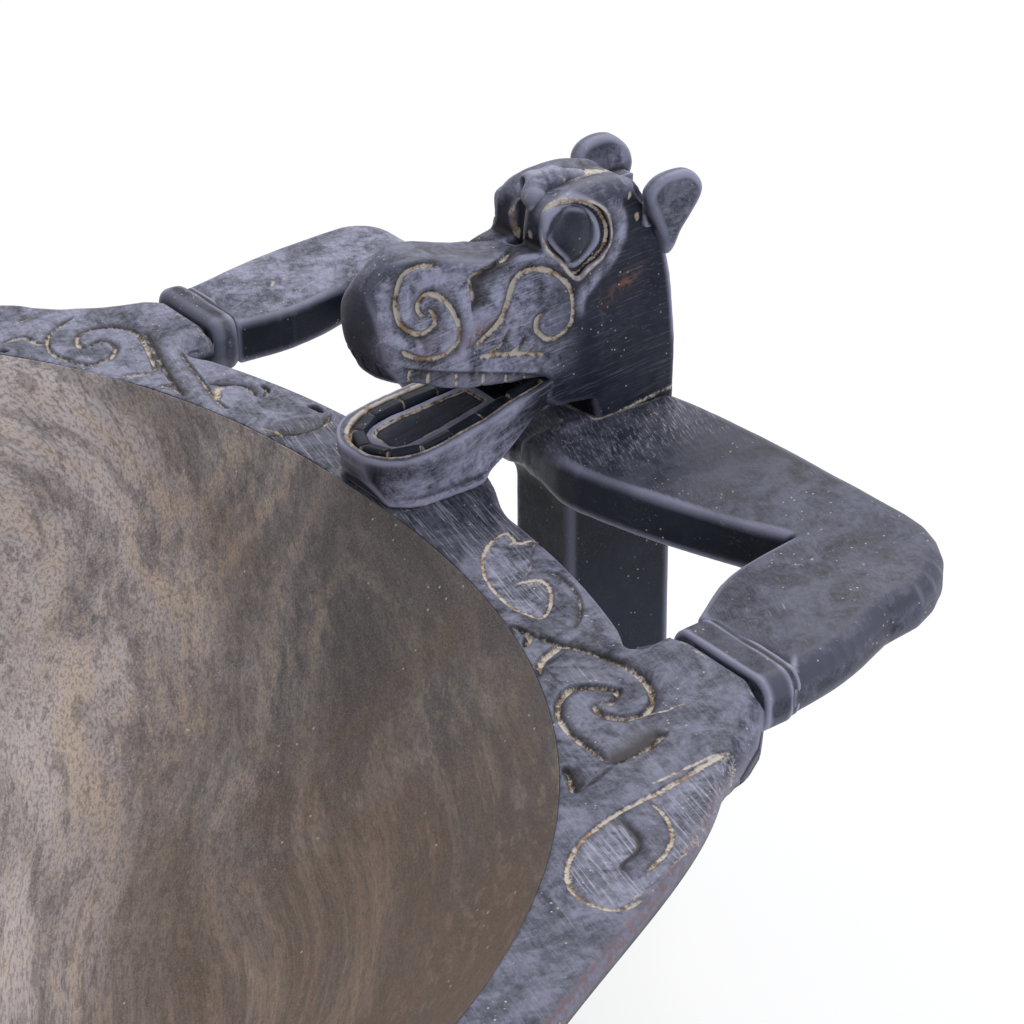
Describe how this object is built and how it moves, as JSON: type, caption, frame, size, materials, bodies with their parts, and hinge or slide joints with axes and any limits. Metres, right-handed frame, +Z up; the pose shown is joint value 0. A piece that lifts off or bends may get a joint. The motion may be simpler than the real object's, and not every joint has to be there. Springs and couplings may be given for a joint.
{
  "type": "carved feast bowl",
  "caption": "Large oval wooden feast bowl with a broad carved rim, held at each end by a crouching figure whose open jaw and bent arms rest on the rim.",
  "frame": {"origin": "centre of the object's overall box, on the floor under the foot", "axes": "+X along the bowl towards the front figure, +Y across the bowl, +Z up"},
  "size_m": [0.804, 0.5698, 0.2545],
  "materials": {
    "bowl_wood": "dark brown hardwood with a swirling grain, the rim stained blue-black, rubbed with pale lime in the cuts",
    "blackened_wood": "blackened hardwood, satin, finely scratched, with pale lime left in the carved lines"
  },
  "bodies": {
    "root": {"bowl": "bowl_wood", "front_post": "blackened_wood", "front_head": "blackened_wood", "front_crest": "blackened_wood", "front_lower_jaw": "blackened_wood", "front_tongue": "blackened_wood", "front_right_arm": "blackened_wood", "front_right_band": "blackened_wood", "front_right_eye": "blackened_wood", "front_right_ear": "blackened_wood", "front_left_arm": "blackened_wood", "front_left_band": "blackened_wood", "front_left_eye": "blackened_wood", "front_left_ear": "blackened_wood", "back_post": "blackened_wood", "back_head": "blackened_wood", "back_crest": "blackened_wood", "back_lower_jaw": "blackened_wood", "back_tongue": "blackened_wood", "back_right_arm": "blackened_wood", "back_right_band": "blackened_wood", "back_right_eye": "blackened_wood", "back_right_ear": "blackened_wood", "back_left_arm": "blackened_wood", "back_left_band": "blackened_wood", "back_left_eye": "blackened_wood", "back_left_ear": "blackened_wood"}
  },
  "joints": []
}
